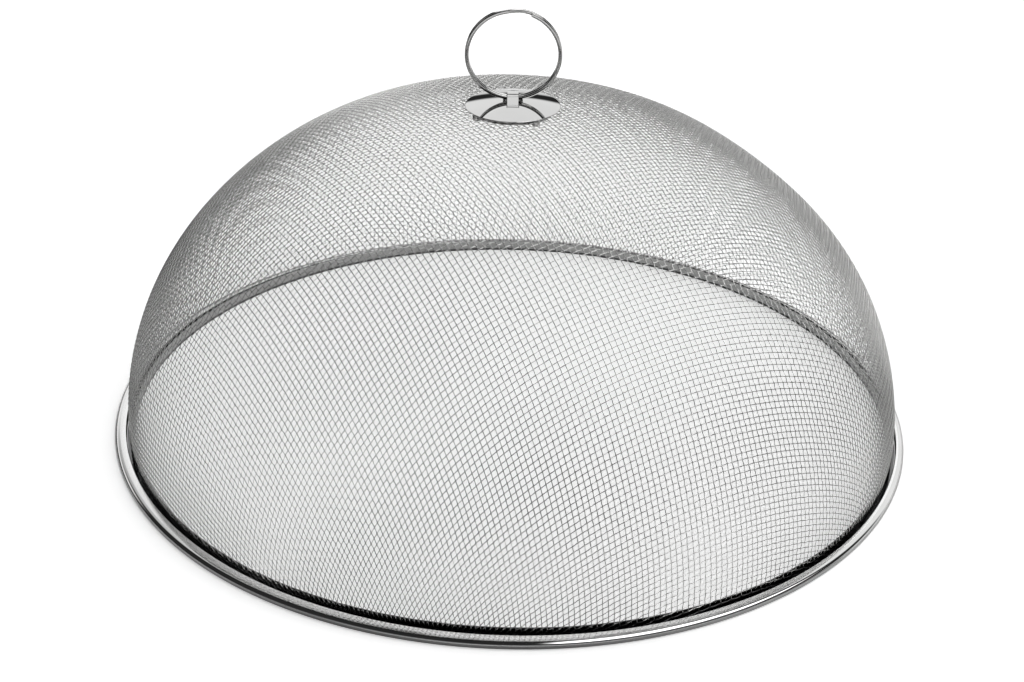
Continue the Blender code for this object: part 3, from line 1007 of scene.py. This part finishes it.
def floor():
    """A white floor that keeps the cover's shadow, clear from below.

    Mirrors near the cover see it without the white lift, and see painted shade in its colour close
    around it and at its left. Its glow is painted light outside the cover and less towards the front, as
    painted shade.
    """
    bpy.ops.mesh.primitive_plane_add(size=FLOOR_SIZE, location=(0, 0, -FLOOR_DROP))
    item = bpy.context.object
    item.name = "floor"
    material = bpy.data.materials.new("floor_white")
    tree = nodes_of(material)
    nodes, link = tree.nodes, tree.links.new
    place = nodes.new("ShaderNodeTexCoord")
    length = nodes.new("ShaderNodeVectorMath")
    length.operation = "LENGTH"
    link(place.outputs["Object"], length.inputs[0])
    from_axis = length.outputs["Value"]
    split = nodes.new("ShaderNodeSeparateXYZ")
    link(place.outputs["Object"], split.inputs[0])
    x, y, _ = split.outputs
    path = nodes.new("ShaderNodeLightPath")
    mirrored = larger(tree, path.outputs["Is Glossy Ray"], path.outputs["Is Transmission Ray"])
    # Painted light outside the cover, over its shadow, and painted shade towards the front, in the
    # floor's glow
    beyond = times(tree, ramp(tree, from_axis, OUTSIDE_LIFT_SHARES), OUTSIDE_LIFT)
    fall = times(tree, ramp(tree, y, FRONT_FALL_SHARES), -FRONT_FALL)
    level = plus(tree, plus(tree, beyond, fall), FLOOR_LIFT)
    in_mirrors = white_in_mirrors(tree, from_axis, x, y, mirrored)
    seen = larger(tree, path.outputs["Is Camera Ray"], in_mirrors)
    lift = nodes.new("ShaderNodeEmission")
    link(times(tree, seen, level), lift.inputs["Strength"])
    tone = nodes.new("ShaderNodeMix")
    tone.data_type = "RGBA"
    tone.inputs["A"].default_value = FLOOR_TONE
    tone.inputs["B"].default_value = (0.0, 0.0, 0.0, 1)
    link(floor_shade(tree, from_axis, x, mirrored), tone.inputs["Factor"])
    diffuse = nodes.new("ShaderNodeBsdfDiffuse")
    link(tone.outputs["Result"], diffuse.inputs["Color"])
    both = nodes.new("ShaderNodeAddShader")
    link(diffuse.outputs[0], both.inputs[0])
    link(lift.outputs[0], both.inputs[1])
    clear = nodes.new("ShaderNodeBsdfTransparent")
    side = nodes.new("ShaderNodeNewGeometry")
    shown_side = nodes.new("ShaderNodeMixShader")
    link(side.outputs["Backfacing"], shown_side.inputs[0])
    link(both.outputs[0], shown_side.inputs[1])
    link(clear.outputs[0], shown_side.inputs[2])
    output = nodes.new("ShaderNodeOutputMaterial")
    link(shown_side.outputs[0], output.inputs["Surface"])
    item.data.materials.append(material)


def card():
    """A small soft light right above the cap, which shows on its bridge."""
    data = bpy.data.lights.new("card", "AREA")
    data.shape = "SQUARE"
    data.size = CARD_SIZE
    data.energy = CARD_WATTS
    item = bpy.data.objects.new("card", data)
    item.location = (0, 0, CARD_HEIGHT)
    item.visible_camera = False
    bpy.context.collection.objects.link(item)


def glow(tree, axes, light):
    """Light from the directions that lie in all three of its bands."""
    along_x, along_y, along_z, level = light
    flat = times(tree, band(tree, axes[0], along_x), band(tree, axes[1], along_y))
    return times(tree, times(tree, flat, band(tree, axes[2], along_z)), level)


def wall(tree, axes):
    """The bright wall behind, whose upper part is missing at the left."""
    x, y, z = axes
    whole = times(tree, band(tree, y, WALL_BEHIND), band(tree, z, WALL_HEIGHT))
    return times(tree, whole, larger(tree, band(tree, x, WALL_RIGHT_PART), band(tree, z, WALL_LOW_PART)))


def world():
    """A white sweep and wall behind, soft lights on the right and a dim room in front.

    The camera itself sees plain white.
    """
    sky = bpy.data.worlds.new("studio")
    bpy.context.scene.world = sky
    tree = nodes_of(sky)
    nodes, link = tree.nodes, tree.links.new
    direction = nodes.new("ShaderNodeTexCoord")
    split = nodes.new("ShaderNodeSeparateXYZ")
    link(direction.outputs["Generated"], split.inputs[0])
    axes = tuple(split.outputs)
    light = plus(tree, wall(tree, axes), BASE_LIGHT)
    for each in (SWEEP, SIDE, ROOM, RIGHT):
        light = plus(tree, light, glow(tree, axes, each))
    path = nodes.new("ShaderNodeLightPath")
    plain = nodes.new("ShaderNodeMix")
    plain.data_type = "FLOAT"
    link(path.outputs["Is Camera Ray"], plain.inputs["Factor"])
    link(light, plain.inputs["A"])
    plain.inputs["B"].default_value = WHITE
    back = nodes.new("ShaderNodeBackground")
    back.inputs["Color"].default_value = (WHITE, WHITE, WHITE, 1)
    link(plain.outputs[0], back.inputs["Strength"])
    output = nodes.new("ShaderNodeOutputWorld")
    link(back.outputs[0], output.inputs["Surface"])
    bpy.context.scene.view_settings.view_transform = "Standard"


look_from(CAMERA_ELEVATION, CAMERA_DISTANCE)
woven_cloth()
rim()
core_wire()
hoop()
split_ring()
cap()
backing_disc()
floor()
card()
world()
